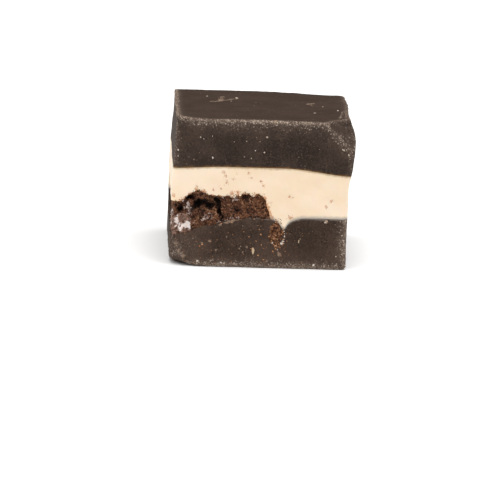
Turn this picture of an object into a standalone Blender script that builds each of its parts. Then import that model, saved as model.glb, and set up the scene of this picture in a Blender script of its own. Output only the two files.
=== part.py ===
"""A square of layered fudge: dark chocolate, vanilla cream and dark chocolate again, with part of a
chocolate sandwich biscuit sunk between the cream and the lower chocolate.

Sizes are in millimetres, and meshes are made in metres. The square stands on z = 0 with its front
cut facing -Y. The biscuit and its white filling show at the front cut and at the left cut, and a
chunk that broke off the biscuit shows beside it in the front cut."""

import math

import bmesh
import bpy
import numpy as np
from mathutils import Matrix, Vector, noise

MM = 0.001

# The whole square: cuts at the left, right, front and back, and the poured top
LEFT_CUT = -19.30
RIGHT_CUT = 18.0
FRONT_CUT = -19.0
BACK_CUT = 19.0
HEIGHT = 31.65
LEFT_LEAN = 0.75
LEFT_FLARE = 0.2
RIGHT_LEAN = 0.75
RIGHT_TUCK = 0.8
TUCK_PLACE = -9.0
TUCK_SPREAD = 10.0
LIP = 0.80
LIP_PLACE = (-12.0, 26.0)
LIP_SPREAD = (8.0, 4.2)
BURR = 0.35
BURR_WIDTH = 0.9
HORN = 0.6
HORN_REACH = 3.2
BACK_CORNER_DROP = 0.5
CUT_RIPPLE = 0.16
TOP_RIPPLE = 0.12
RIPPLE_LENGTH = 8.0

# Rounding: the upright corners, the top rim and the worn foot of the front left corner
CORNER_RADIUS = 1.0
WORN_RADIUS = 2.7
WORN_REACH = 4.5
WORN_HEIGHT = (3.0, 9.0)
TOP_RADIUS = 0.4
FOOT_RADIUS = 1.2

# The corner broken off at the top, front and right: how far it goes along each edge
CHIP_ALONG_FRONT = 6.3
CHIP_ALONG_SIDE = 6.0
CHIP_DOWN = 6.3
CHIP_RIPPLE = 0.35
CHIP_CUTTER = 11.0

# The two joins between the layers, and the groove where the cream has sunk round the chunk
UPPER_JOIN = 21.6
UPPER_JOIN_LEFT_DROP = 0.5
UPPER_JOIN_RIGHT_DROP = 1.45
LOWER_JOIN = 11.0
JOIN_RIPPLE = 0.22
GROOVE_X = 4.6
GROOVE_DEPTH = 1.3
GROOVE_WIDTH = 0.75
SHOULDER_DEPTH = 1.2
SHOULDER_WIDTH = 2.4
GROOVE_BACK = 4.5

# The sandwich biscuit, a disc 45 mm across that both cuts went through
BISCUIT_RADIUS = 22.5
BISCUIT_CENTRE = (-20.2, -12.0)
BISCUIT_TOP = 15.25
BISCUIT_BASE = 10.6
BISCUIT_BASE_DROP = 3.5
BISCUIT_SLANT = 1.2
RIM_DROP = 0.9
BISCUIT_CRAG = 0.55
CRAG_LENGTH = 2.6
CUT_RECESS = 0.45
HOLLOW_DEPTH = 1.5
HOLLOW_PLACE = (-11.3, 13.2)
HOLLOW_SPREAD = (2.6, 1.0)

# The white filling, which shows under the upper wafer at the left
FILLING_WIDTH = 4.2
FILLING_LENGTH = 15.0
FILLING_MIDDLE = 8.95
FILLING_HALF = 2.15
FILLING_THINNING = 0.9
FILLING_CRAG = 0.3

# The chunk beside the biscuit
CHUNK_CENTRE = (2.95, -18.2, 7.5)
CHUNK_RADII = (1.4, 2.6, 2.45)
CHUNK_CRAG = 0.3

# Room between solids, and how far a pocket's cutter runs out past the cuts
GAP = 0.3
REACH = 2.5

# Places of a layer's vertices, in millimetres from the left cut and from the front one, closer
# together at the rims and round the groove, and its rows up
GROOVED = (0.0, 0.4, 1.3, 3.0, 5.4, 8.0, 10.8, 13.6, 16.4, 19.4, 21.7)
GROOVED += (22.8, 23.4, 23.9, 24.4, 25.0, 26.2, 28.2, 30.6, 33.0, 35.2, 36.5, 37.1)
EVEN = (0.0, 0.4, 1.3, 3.1, 5.6, 8.2, 10.8, 13.4, 16.0, 18.6, 21.2)
EVEN += (23.8, 26.2, 28.4, 30.4, 32.2, 33.8, 35.2, 36.2, 36.8, 37.1)
ALONG = (0.0, 0.4, 1.3, 2.8, 4.8, 7.4, 10.6, 14.2, 18.0, 22.0, 26.0, 30.0, 33.6, 36.4, 37.5, 38.0)
ROWS_UP = 6

# Cuts of the smaller solids' faces: along X, Y and Z
BISCUIT_CUTS = (17, 15, 4)
FILLING_CUTS = (7, 9, 5)
CHIP_CUTS = (9, 9, 0)
CHUNK_ROUND = 3


def collection(name):
    """A new collection in the scene."""
    made = bpy.data.collections.new(name)
    bpy.context.scene.collection.children.link(made)
    return made


def ease(low, high, value):
    """0 up to low and 1 from high on, with a smooth rise between them."""
    share = np.clip((value - low) / (high - low), 0.0, 1.0)
    return share * share * (3.0 - 2.0 * share)


def hump(value, width):
    """1 at zero, fading smoothly to nothing past about twice the width."""
    return np.exp(-((value / width) ** 2))


def ripple(x, y, z, length, height, seed):
    """Smooth unevenness of that height, in waves about that long."""
    x, y, z = np.broadcast_arrays(x, y, z)
    points = np.stack([x, y, z], axis=-1).reshape(-1, 3) / length + seed
    values = [noise.noise(point) for point in points.tolist()]
    return height * np.array(values).reshape(x.shape)


def left_cut(y, z):
    lean = LEFT_LEAN * ease(15.0, HEIGHT, z) - LEFT_FLARE * ease(-19.0, 10.0, y)
    return LEFT_CUT + lean + ripple(0.0, y, z, RIPPLE_LENGTH, CUT_RIPPLE, 3.1)


def right_cut(y, z):
    lean = RIGHT_LEAN * ease(16.5, 22.5, z)
    lean = lean - RIGHT_TUCK * ease(28.0, HEIGHT, z) * hump(y - TUCK_PLACE, TUCK_SPREAD)
    lip = LIP * hump(y - LIP_PLACE[0], LIP_SPREAD[0]) * hump(z - LIP_PLACE[1], LIP_SPREAD[1])
    return RIGHT_CUT + lean + lip + ripple(0.0, y, z, RIPPLE_LENGTH, CUT_RIPPLE, 7.7)


def front_cut(x, z):
    return FRONT_CUT + ripple(x, 0.0, z, RIPPLE_LENGTH, CUT_RIPPLE, 12.3)


def back_cut(x, z):
    return BACK_CUT + ripple(x, 0.0, z, RIPPLE_LENGTH, CUT_RIPPLE, 17.9)


def top_face(x, y):
    """Height of the poured top, with a burr along its left edge, which rises to a horn at the
    front, and a low back right corner."""
    burr = BURR * hump(x - (LEFT_CUT + LEFT_LEAN), BURR_WIDTH) * ease(19.0, 0.0, y)
    burr = burr + HORN * hump(np.hypot(x - (LEFT_CUT + LEFT_LEAN), y - FRONT_CUT), HORN_REACH)
    drop = BACK_CORNER_DROP * ease(0.0, 19.0, x) * ease(0.0, 19.0, y)
    return HEIGHT + burr - drop + ripple(x, y, 0.0, RIPPLE_LENGTH, TOP_RIPPLE, 23.3)


def upper_join(x, y):
    left = UPPER_JOIN_LEFT_DROP * ease(-8.0, -19.0, x)
    right = UPPER_JOIN_RIGHT_DROP * ease(4.0, 20.0, x)
    return UPPER_JOIN - left - right + ripple(x, y, 0.0, RIPPLE_LENGTH, JOIN_RIPPLE, 31.7) * ease(-19.0, -12.0, y)


def lower_join(x, y):
    """The lower chocolate's surface, with the groove that opens at the front cut."""
    away = x - GROOVE_X
    groove = GROOVE_DEPTH * hump(away, GROOVE_WIDTH) + SHOULDER_DEPTH * hump(away, SHOULDER_WIDTH)
    wave = ripple(x, y, 0.0, RIPPLE_LENGTH, JOIN_RIPPLE, 41.9) * ease(-19.0, -12.0, y)
    return LOWER_JOIN - groove * hump(y - FRONT_CUT, GROOVE_BACK) + wave


def half_gap(join, x, y):
    """Half of the height between two layers that keeps them the gap apart where the join is steep."""
    step = 0.05
    slope_x = (join(x + step, y) - join(x - step, y)) / (2.0 * step)
    slope_y = (join(x, y + step) - join(x, y - step)) / (2.0 * step)
    return 0.5 * GAP * np.sqrt(1.0 + slope_x**2 + slope_y**2)


def below(join):
    return lambda x, y: join(x, y) - half_gap(join, x, y)


def above(join):
    return lambda x, y: join(x, y) + half_gap(join, x, y)


def round_in(depth, radius):
    """How far a rounded rim stands back at that depth below its face."""
    under = np.clip(radius - depth, 0.0, radius)
    return radius - np.sqrt(np.maximum(radius * radius - under * under, 0.0))


def round_corner(from_side, from_end, radius):
    """Distances from two cuts that meet, moved so that their corner becomes a round of that radius."""
    side, end = radius - from_side, radius - from_end
    inside = (side > 0.0) & (end > 0.0)
    length = np.where(inside, np.hypot(side, end), 1.0)
    share = np.where(inside, np.maximum(side, end) / length, 1.0)
    return radius - side * share, radius - end * share


def outline(across, along, z):
    """x and y of the square at height z. across runs from the left cut to the right one and along
    from the front cut to the back one, each from 0 to 1."""
    y = FRONT_CUT + (BACK_CUT - FRONT_CUT) * along
    x = LEFT_CUT + (RIGHT_CUT - LEFT_CUT) * across
    left, right = left_cut(y, z), right_cut(y, z)
    front, back = front_cut(x, z), back_cut(x, z)
    x = left + (right - left) * across
    y = front + (back - front) * along
    worn = hump(np.hypot(x - LEFT_CUT, y - FRONT_CUT), WORN_REACH)
    stand_back = round_in(z, FOOT_RADIUS + WORN_RADIUS * worn) + round_in(top_face(x, y) - z, TOP_RADIUS)
    x = x + stand_back * (1.0 - 2.0 * across)
    y = y + stand_back * (1.0 - 2.0 * along)
    left, right = left + stand_back, right - stand_back
    front, back = front + stand_back, back - stand_back
    corner = CORNER_RADIUS + WORN_RADIUS * (1.0 - ease(*WORN_HEIGHT, z)) * worn
    from_left, from_front = round_corner(x - left, y - front, corner)
    x, y = left + from_left, front + from_front
    from_right, from_front = round_corner(right - x, y - front, CORNER_RADIUS)
    x, y = right - from_right, front + from_front
    from_left, from_back = round_corner(x - left, back - y, CORNER_RADIUS)
    x, y = left + from_left, back - from_back
    from_right, from_back = round_corner(right - x, back - y, CORNER_RADIUS)
    return right - from_right, back - from_back


def cut_box(name, cuts, into):
    """A box from 0 to 1 each way, cut evenly along X, Y and Z, as an object without a shape yet."""
    bm = bmesh.new()
    bmesh.ops.create_cube(bm, size=1.0, matrix=Matrix.Translation((0.5, 0.5, 0.5)))
    for axis, count in enumerate(cuts):
        edges = [edge for edge in bm.edges if abs((edge.verts[1].co - edge.verts[0].co)[axis]) > 1e-6]
        if count:
            bmesh.ops.subdivide_edges(bm, edges=edges, cuts=count, use_grid_fill=True)
    mesh = bpy.data.meshes.new(name)
    bm.to_mesh(mesh)
    bm.free()
    made = bpy.data.objects.new(name, mesh)
    into.objects.link(made)
    return made


def shares_of(obj):
    """The vertices' places in the box, as three arrays."""
    points = np.empty(len(obj.data.vertices) * 3, np.float32)
    obj.data.vertices.foreach_get("co", points)
    return points.astype(float).reshape(-1, 3).T


def set_points(obj, x, y, z):
    """Moves the vertices to these places, in millimetres."""
    points = np.stack(np.broadcast_arrays(x, y, z), axis=-1) * MM
    obj.data.vertices.foreach_set("co", points.astype(np.float32).ravel())
    obj.data.update()


def spread(share, places):
    """Evenly spaced shares, moved to a list of places, as shares of the last one."""
    return np.interp(share, np.linspace(0.0, 1.0, len(places)), places) / places[-1]


def layer(name, places, floor, roof, crowd, into):
    """One poured layer between two surfaces, with its vertices at those places across. crowd above
    1 crowds the rows towards the floor, and below 0 towards the roof."""
    made = cut_box(name, (len(places) - 2, len(ALONG) - 2, ROWS_UP), into)
    across, along, up = shares_of(made)
    across, along = spread(across, places), spread(along, ALONG)
    up = 1.0 - (1.0 - up) ** -crowd if crowd < 0.0 else up**crowd
    x, y = outline(across, along, LOWER_JOIN)
    for _ in range(2):
        z = floor(x, y) * (1.0 - up) + roof(x, y) * up
        x, y = outline(across, along, z)
    set_points(made, x, y, z)
    return made


def biscuit_top(x, y):
    """The upper wafer's surface: a dip at the left, a raised flake and a broken edge at the front."""
    near_front = hump(y - FRONT_CUT, 6.0)
    shape = -1.4 * hump(x + 18.6, 1.9) + 1.0 * hump(x + 13.5, 1.6) - 0.25 * hump(x + 8.5, 3.0)
    return BISCUIT_TOP + (shape + 0.6 * ease(-7.0, -5.0, x)) * near_front + ripple(x, y, 5.0, CRAG_LENGTH, 0.35, 2.2)


def biscuit_base(x, y):
    """The underside, which drops to the left, where the filling and lower wafer are still there."""
    drop = BISCUIT_BASE_DROP * np.clip((-2.5 - x) / 14.5, 0.0, 1.0) ** 1.5
    return BISCUIT_BASE - drop + ripple(x, y, 9.0, CRAG_LENGTH, 0.2, 4.4)


def cut_relief(along, z, seed):
    """How far the biscuit's broken face lies behind a cut: a little everywhere, and in crags."""
    return CUT_RECESS + BISCUIT_CRAG * (0.5 + ripple(along, 0.0, z, CRAG_LENGTH, 1.0, seed))


def press_in(place, cut, relief, fade):
    """Places behind a cut, pushed back by the relief at the cut and ever less further in."""
    return place + relief * hump(place - cut, fade)


def biscuit(name, into):
    """The part of the disc inside the square, with its vertices at the left cut and at the front."""
    made = cut_box(name, BISCUIT_CUTS, into)
    across, along, up = shares_of(made)
    corner = Vector((LEFT_CUT, FRONT_CUT))
    turn = np.arctan2(along, np.maximum(across, 1e-9))
    turn = np.where((across == 0.0) & (along == 0.0), math.pi / 4.0, turn)
    offset = corner - Vector(BISCUIT_CENTRE)
    radius = BISCUIT_RADIUS + BISCUIT_SLANT * (0.5 - up)
    towards = offset.x * np.cos(turn) + offset.y * np.sin(turn)
    rim = -towards + np.sqrt(towards**2 - offset.length_squared + radius**2)
    share = np.maximum(across, along)
    x = corner.x + share * rim * np.cos(turn)
    y = corner.y + share * rim * np.sin(turn)
    roof = biscuit_top(x, y) - RIM_DROP * ease(0.9, 1.0, share) ** 2
    z = biscuit_base(x, y) * (1.0 - up) + roof * up
    hollow = HOLLOW_DEPTH * hump(x - HOLLOW_PLACE[0], HOLLOW_SPREAD[0]) * hump(z - HOLLOW_PLACE[1], HOLLOW_SPREAD[1])
    pressed = press_in(y, FRONT_CUT, cut_relief(x, z, 5.5) + hollow, 4.0)
    set_points(made, press_in(x, LEFT_CUT, cut_relief(y, z, 6.6), 3.0), pressed, z)
    return made, across == 0.0, along == 0.0


def filling(name, into):
    """The white filling, a tongue that thins out to the right and to the back, with its vertices
    at the left cut and at the front."""
    made = cut_box(name, FILLING_CUTS, into)
    across, along, up = shares_of(made)
    width = FILLING_WIDTH * np.sqrt(1.0 - 0.85 * along**2)
    length = FILLING_LENGTH * np.sqrt(1.0 - 0.6 * across**2)
    x = LEFT_CUT + width * across
    y = FRONT_CUT + length * along
    half = (FILLING_HALF - FILLING_THINNING * along) * np.sqrt(1.0 - 0.8 * across**3)
    z = FILLING_MIDDLE - 0.5 * along + half * (2.0 * up - 1.0) + ripple(x, y, up * 4.0, 1.7, FILLING_CRAG, 8.8)
    pressed = press_in(y, FRONT_CUT, CUT_RECESS + ripple(x, 0.0, z, 1.6, FILLING_CRAG, 9.9), 2.0)
    set_points(made, press_in(x, LEFT_CUT, CUT_RECESS + ripple(0.0, y, z, 1.6, FILLING_CRAG, 10.1), 1.5), pressed, z)
    return made, across == 0.0, along == 0.0


def chunk(name, into):
    """The chunk: a craggy ball, flattened where the front cut went through it, with its vertices
    at the left cut, which are none, and at the front."""
    bm = bmesh.new()
    bmesh.ops.create_icosphere(bm, subdivisions=CHUNK_ROUND, radius=1.0)
    mesh = bpy.data.meshes.new(name)
    bm.to_mesh(mesh)
    bm.free()
    made = bpy.data.objects.new(name, mesh)
    into.objects.link(made)
    ball = shares_of(made)
    crag = 1.0 + ripple(*ball, 0.55, CHUNK_CRAG / CHUNK_RADII[0], 13.1)
    x, y, z = (c + r * b * crag for c, r, b in zip(CHUNK_CENTRE, CHUNK_RADII, ball))
    face = FRONT_CUT + CUT_RECESS + ripple(x, 0.0, z, 2.0, CHUNK_CRAG, 14.3)
    set_points(made, x, np.maximum(y, face), z)
    return made, np.zeros(x.shape, bool), y < face


def pocket(name, solid, at_left, at_front, into):
    """The cutter for the hollow that a solid lies in: larger by the gap, and out past the cuts."""
    bm = bmesh.new()
    bm.from_mesh(solid.data)
    bmesh.ops.recalc_face_normals(bm, faces=bm.faces)
    bm.normal_update()
    moves = [vert.normal * vert.calc_shell_factor() * GAP * MM for vert in bm.verts]
    for vert, move in zip(bm.verts, moves):
        vert.co += move
        if at_left[vert.index]:
            vert.co.x = (LEFT_CUT - REACH) * MM
        if at_front[vert.index]:
            vert.co.y = (FRONT_CUT - REACH) * MM
    mesh = bpy.data.meshes.new(name)
    bm.to_mesh(mesh)
    bm.free()
    made = bpy.data.objects.new(name, mesh)
    into.objects.link(made)
    made.hide_render = True
    made.display_type = "WIRE"
    return made


def chip(name, into):
    """The cutter for the broken corner. Its face passes through a point on each of three edges."""
    corner = Vector((RIGHT_CUT + RIGHT_LEAN, FRONT_CUT, HEIGHT))
    on_front = corner - Vector((CHIP_ALONG_FRONT, 0.0, 0.0))
    on_side = corner + Vector((0.0, CHIP_ALONG_SIDE, 0.0))
    on_edge = corner - Vector((0.0, 0.0, CHIP_DOWN))
    outward = (on_side - on_edge).cross(on_front - on_edge).normalized()
    sideways = (on_side - on_front).normalized()
    upward = outward.cross(sideways)
    middle = (on_front + on_side + on_edge) / 3.0
    made = cut_box(name, CHIP_CUTS, into)
    right, up, out = shares_of(made)
    right, up = (right - 0.5) * 2.0 * CHIP_CUTTER, (up - 0.5) * 2.0 * CHIP_CUTTER
    out = out * CHIP_CUTTER + np.where(out == 0.0, ripple(right, up, 0.0, 2.5, CHIP_RIPPLE, 15.7), 0.0)
    places = [middle[k] + right * sideways[k] + up * upward[k] + out * outward[k] for k in range(3)]
    set_points(made, *places)
    made.hide_render = True
    made.display_type = "WIRE"
    return made


def settle_faces(obj):
    """Cuts the faces into triangles, so that a pocket bends where its solid does, and turns them
    outwards."""
    bm = bmesh.new()
    bm.from_mesh(obj.data)
    bmesh.ops.triangulate(bm, faces=bm.faces)
    bmesh.ops.recalc_face_normals(bm, faces=bm.faces)
    bm.to_mesh(obj.data)
    bm.free()


def cut_out(obj, *cutters):
    """Takes each cutter's shape out of the object."""
    for cutter in cutters:
        modifier = obj.modifiers.new(cutter.name, "BOOLEAN")
        modifier.operation = "DIFFERENCE"
        modifier.solver = "EXACT"
        modifier.object = cutter


def finish(obj, colour, roughness):
    """Gives the object a plain material of its own, smooth but for its sharp edges."""
    material = bpy.data.materials.new(obj.name)
    material.use_nodes = True
    shader = material.node_tree.nodes["Principled BSDF"]
    shader.inputs["Base Color"].default_value = (*colour, 1.0)
    shader.inputs["Roughness"].default_value = roughness
    shader.inputs["Metallic"].default_value = 0.0
    obj.data.materials.append(material)
    obj.data.shade_smooth()
    obj.data.set_sharp_from_angle(angle=math.radians(35.0))


def build():
    for obj in list(bpy.data.objects):
        bpy.data.objects.remove(obj)
    fudge, cutters = collection("layered_fudge"), collection("cutters")

    lower = layer("chocolate_bottom", GROOVED, lambda x, y: 0.0 * x, below(lower_join), 1.7, fudge)
    cream = layer("cream_layer", GROOVED, above(lower_join), below(upper_join), 1.0, fudge)
    upper = layer("chocolate_top", EVEN, above(upper_join), top_face, -1.7, fudge)
    wafer, *wafer_cuts = biscuit("biscuit", fudge)
    white, *white_cuts = filling("biscuit_filling", fudge)
    broken, *broken_cuts = chunk("biscuit_chunk", fudge)
    corner = chip("broken_corner", cutters)
    for obj in (lower, cream, upper, wafer, white, broken, corner):
        settle_faces(obj)
    wafer_pocket = pocket("biscuit_pocket", wafer, *wafer_cuts, cutters)
    white_pocket = pocket("filling_pocket", white, *white_cuts, cutters)
    broken_pocket = pocket("chunk_pocket", broken, *broken_cuts, cutters)

    cut_out(lower, wafer_pocket, white_pocket, broken_pocket)
    cut_out(cream, wafer_pocket, broken_pocket)
    cut_out(upper, corner)
    cut_out(wafer, white_pocket)

    finish(lower, (0.055, 0.038, 0.029), 0.55)
    finish(cream, (0.90, 0.76, 0.56), 0.50)
    finish(upper, (0.055, 0.038, 0.029), 0.50)
    finish(wafer, (0.060, 0.024, 0.012), 0.90)
    finish(white, (0.62, 0.52, 0.46), 0.70)
    finish(broken, (0.080, 0.030, 0.014), 0.90)


build()
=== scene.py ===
"""The looks of a square of layered fudge on a pale floor: dark chocolate, vanilla cream and dark
chocolate, with part of a chocolate sandwich biscuit in the front and left cuts.

Lengths are in millimetres and meshes are made in metres, as in the solids' own source, whose sizes
and surfaces are repeated here at a finer grain."""

import itertools
import math

import bmesh
import bpy
import numpy as np
from mathutils import Euler, Matrix, Vector, kdtree, noise

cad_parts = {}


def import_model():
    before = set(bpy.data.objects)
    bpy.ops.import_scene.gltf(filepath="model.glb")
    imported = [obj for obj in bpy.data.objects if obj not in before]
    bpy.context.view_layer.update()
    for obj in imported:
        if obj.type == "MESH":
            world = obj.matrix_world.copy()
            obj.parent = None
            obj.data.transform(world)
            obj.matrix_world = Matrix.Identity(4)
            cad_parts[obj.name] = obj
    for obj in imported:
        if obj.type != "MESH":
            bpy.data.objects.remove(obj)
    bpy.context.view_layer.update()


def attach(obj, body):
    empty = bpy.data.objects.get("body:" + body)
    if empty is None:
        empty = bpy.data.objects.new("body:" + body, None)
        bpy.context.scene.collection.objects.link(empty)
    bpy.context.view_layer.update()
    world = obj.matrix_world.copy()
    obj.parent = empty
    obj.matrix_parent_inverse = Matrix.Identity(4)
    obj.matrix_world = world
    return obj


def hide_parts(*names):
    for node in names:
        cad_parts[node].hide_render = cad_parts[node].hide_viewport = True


MM = 0.001

# The whole square: cuts at the left, right, front and back, and the poured top
LEFT_CUT = -19.30
RIGHT_CUT = 18.0
FRONT_CUT = -19.0
BACK_CUT = 19.0
HEIGHT = 31.65
LEFT_LEAN = 0.75
LEFT_FLARE = 0.2
RIGHT_LEAN = 0.75
RIGHT_TUCK = 0.8
TUCK_PLACE = -9.0
TUCK_SPREAD = 10.0
LIP = 0.80
LIP_PLACE = (-12.0, 26.0)
LIP_SPREAD = (8.0, 4.2)
BURR = 0.35
BURR_WIDTH = 0.9
HORN = 0.6
HORN_REACH = 3.2
BACK_CORNER_DROP = 0.5
CUT_RIPPLE = 0.16
TOP_RIPPLE = 0.12
RIPPLE_LENGTH = 8.0

# Rounding: the upright corners, the top rim and the worn foot of the front left corner
CORNER_RADIUS = 1.0
WORN_RADIUS = 2.7
WORN_REACH = 4.5
WORN_HEIGHT = (3.0, 9.0)
TOP_RADIUS = 0.4
FOOT_RADIUS = 0.8

# The corner broken off at the top, front and right: how far it goes along each edge
CHIP_ALONG_FRONT = 6.3
CHIP_ALONG_SIDE = 6.0
CHIP_DOWN = 6.3
CHIP_RIPPLE = 0.35
CHIP_CUTTER = 11.0

# The two joins between the layers, and the groove where the cream has sunk round the chunk
UPPER_JOIN = 21.6
UPPER_JOIN_LEFT_DROP = 0.5
UPPER_JOIN_RIGHT_DROP = 1.45
LOWER_JOIN = 11.0
JOIN_RIPPLE = 0.22
GROOVE_X = 4.6
GROOVE_DEPTH = 1.3
GROOVE_WIDTH = 0.75
SHOULDER_DEPTH = 1.2
SHOULDER_WIDTH = 2.4
GROOVE_BACK = 4.5

# The sandwich biscuit, a disc 45 mm across that both cuts went through
BISCUIT_RADIUS = 22.5
BISCUIT_CENTRE = (-20.2, -12.0)
BISCUIT_TOP = 15.25
BISCUIT_BASE = 10.6
BISCUIT_BASE_DROP = 3.5
BISCUIT_SLANT = 1.2
RIM_DROP = 0.9
BISCUIT_CRAG = 0.55
CRAG_LENGTH = 2.6
CUT_RECESS = 0.45
HOLLOW_DEPTH = 1.5
HOLLOW_PLACE = (-11.3, 13.2)
HOLLOW_SPREAD = (2.6, 1.0)

# The white filling, which shows under the upper wafer at the left
FILLING_WIDTH = 4.2
FILLING_LENGTH = 15.0
FILLING_MIDDLE = 8.95
FILLING_HALF = 2.15
FILLING_THINNING = 0.9
FILLING_CRAG = 0.3

# The chunk beside the biscuit
CHUNK_CENTRE = (2.95, -18.2, 7.5)
CHUNK_RADII = (1.4, 2.6, 2.45)
CHUNK_CRAG = 0.3

# Fine surfaces: the cells of the meshes, and how far a pocket's cutter runs out and bites in
CELL = 0.26
ROWS_UP = 38
REACH = 2.5
BITE = 0.04
BISCUIT_CELLS = (150, 130, 34)
FILLING_CELLS = (34, 60, 30)
CHUNK_ROUND = 5
CHIP_CELLS = (80, 80, 0)

# The camera, from the photograph's perspective: the square's middle and where it falls in the
# picture, in pixels right of and above its centre
PICTURE = 500.0
LENS_PIXELS = 3548.0
SENSOR_MM = 36.0
CAMERA_DISTANCE = 766.0
CAMERA_AZIMUTH = -2.2
CAMERA_ELEVATION = 10.9
CAMERA_ROLL = 2.0
MIDDLE = (0.0, 0.0, 15.65)
MIDDLE_PIXELS = (10.0, 71.4)

# The pale floor, in metres, the surround and the two lamps: direction, strength and spread
FLOOR_HALF = 3.0
FLOOR_TONE = (0.9, 0.9, 0.9, 1.0)
SURROUND = 0.35
LAMP_ABOVE = ((0.12, -0.26, 1.0), 3.4, 70.0)
LAMP_LEFT = ((-1.0, 0.1, 0.4), 0.8, 60.0)

# Stains and crumbs in the cream, and pale crumbs on the chocolate: x, z and radius at the front cut
CREAM_SPOTS = [
    (-8.4, 20.5, 0.3), (-7.9, 19.6, 0.25), (-7.7, 18.3, 0.35), (-6.5, 16.1, 0.4), (-6.4, 19.0, 0.2),
    (-3.2, 20.5, 0.28), (-2.6, 19.5, 0.22), (-0.5, 18.7, 0.25), (0.1, 17.7, 0.28), (5.8, 15.5, 0.26),
    (14.5, 14.8, 0.25), (13.5, 13.6, 0.28), (5.7, 11.1, 0.33), (6.4, 11.2, 0.25), (1.7, 14.2, 0.25),
    (-14.0, 17.3, 0.18), (-14.0, 16.4, 0.2), (-5.6, 20.4, 0.18), (-8.9, 17.0, 0.22), (-10.4, 16.6, 0.2),
]
PALE_SPOTS = [
    (-13.5, 27.8, 0.18), (-12.8, 27.5, 0.16), (-11.0, 28.1, 0.2), (0.4, 28.2, 0.3), (-1.0, 27.2, 0.16),
    (-3.8, 27.2, 0.16), (-6.4, 27.0, 0.15), (-1.9, 25.3, 0.22), (0.0, 24.9, 0.26), (-18.1, 25.0, 0.3),
    (-18.1, 23.7, 0.22), (-10.8, 23.5, 0.36), (-2.7, 23.6, 0.22), (16.6, 25.9, 0.5), (17.8, 24.8, 0.3),
    (2.1, 31.6, 0.55), (2.5, 31.3, 0.3), (13.6, 10.5, 0.6), (13.3, 10.2, 0.3), (1.3, 31.5, 0.25),
    (4.3, 5.5, 0.42), (4.6, 5.9, 0.35), (4.75, 6.4, 0.25), (4.85, 7.0, 0.22), (4.85, 7.6, 0.2),
    (4.75, 8.1, 0.2), (2.5, 5.6, 0.3), (3.2, 4.9, 0.25), (3.5, 4.1, 0.22), (-13.4, 1.2, 0.4),
    (-13.0, 0.9, 0.3), (-8.4, 1.0, 0.35), (-7.8, 0.8, 0.3), (11.2, 0.9, 0.35), (15.9, 3.0, 0.25),
]

# Stains in the cream beside the biscuit, tan and pale spots on the lower chocolate, the clean parts
# of the filling and crumbs in the groove: x, z and radius at the front cut
CREAM_STAINS = [
    (-5.2, 16.1, 0.4), (3.0, 10.3, 0.3), (6.0, 11.0, 0.3), (-14.0, 16.7, 0.35), (-12.4, 16.4, 0.3),
    (-18.9, 15.2, 0.4),
]
CREAM_STAINS += [(0.3 + 0.1 * step, 15.2 - 0.25 * step, 0.4) for step in range(20)]
TAN_SPOTS = [
    (-9.6, 3.7, 0.4), (-7.4, 6.6, 0.25), (-10.8, 5.6, 0.3), (-12.6, 5.1, 0.3), (-17.4, 3.4, 0.6),
    (-18.2, 4.8, 0.7), (-4.6, 4.2, 0.3), (-3.0, 4.4, 0.3), (-3.8, 3.3, 0.3), (-16.6, 2.2, 0.6),
    (3.9, 3.2, 0.5), (13.6, 10.3, 0.4), (-1.8, 10.6, 0.3),
]
TAN_SPOTS += [(-9.4 + 0.25 * step, 8.95 + 0.085 * step, 0.38) for step in range(19)]
SEED_SPOTS = [
    (-1.7, 4.2, 0.28), (-1.65, 3.7, 0.33), (-1.7, 3.2, 0.26), (8.0, 6.1, 0.17), (7.9, 5.7, 0.17),
    (8.1, 6.5, 0.14),
]
CLEAN_SPOTS = [
    (-18.3, 10.4, 0.6), (-18.2, 9.6, 0.7), (-17.7, 8.8, 0.6), (-17.3, 8.1, 0.65), (-17.3, 7.4, 0.5),
    (-16.4, 8.6, 0.8), (-15.7, 9.2, 0.65), (-15.6, 8.5, 0.55), (-16.3, 9.5, 0.45), (-18.7, 8.7, 0.35),
]
GROOVE_SPOTS = [
    (2.6, 5.1, 0.22), (4.5, 5.0, 0.25), (3.4, 4.7, 0.25), (3.6, 4.0, 0.25), (4.0, 4.6, 0.2),
    (3.1, 4.3, 0.2), (5.1, 6.7, 0.2), (4.9, 4.5, 0.25), (4.1, 3.4, 0.2), (5.3, 7.6, 0.2), (2.2, 6.0, 0.2),
    (5.6, 8.4, 0.15),
]

# How many crumbs make up a spot in the cream, how many crumbs and grains are strewn in each place,
# and the power that makes the chances of those under the biscuit almost even
CRUMBS_A_SPOT = 10
CRUMBS_OVER_BISCUIT = 220
CRUMBS_UNDER_BISCUIT = 230
CRUMBS_ROUND_CHUNK = (30, 60)
SCATTERED = 0.02
WAFER_GRAINS = 2200
CHUNK_GRAINS = 110
EDGE_GRAINS = 3300

# Crumbs on the poured top: x, y and radius
TOP_SPOTS = [
    (-5.3, 7.7, 0.4), (-6.6, 4.2, 0.18), (-11.8, 9.9, 0.22), (13.0, 0.8, 0.22), (10.9, -7.5, 0.2),
    (16.0, -4.0, 0.2),
]

# Pale streaks on the poured top: the ends in x and y, and the width
STREAKS = [
    ((10.2, 3.9), (11.2, 4.9), 0.75),
    ((-10.2, 4.0), (-5.8, 7.4), 0.3),
    ((-9.3, 4.6), (-8.4, 9.8), 0.5),
    ((-11.3, 3.4), (-9.4, 4.4), 0.45),
    ((10.4, 3.0), (10.7, 1.6), 0.3),
]

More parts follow.
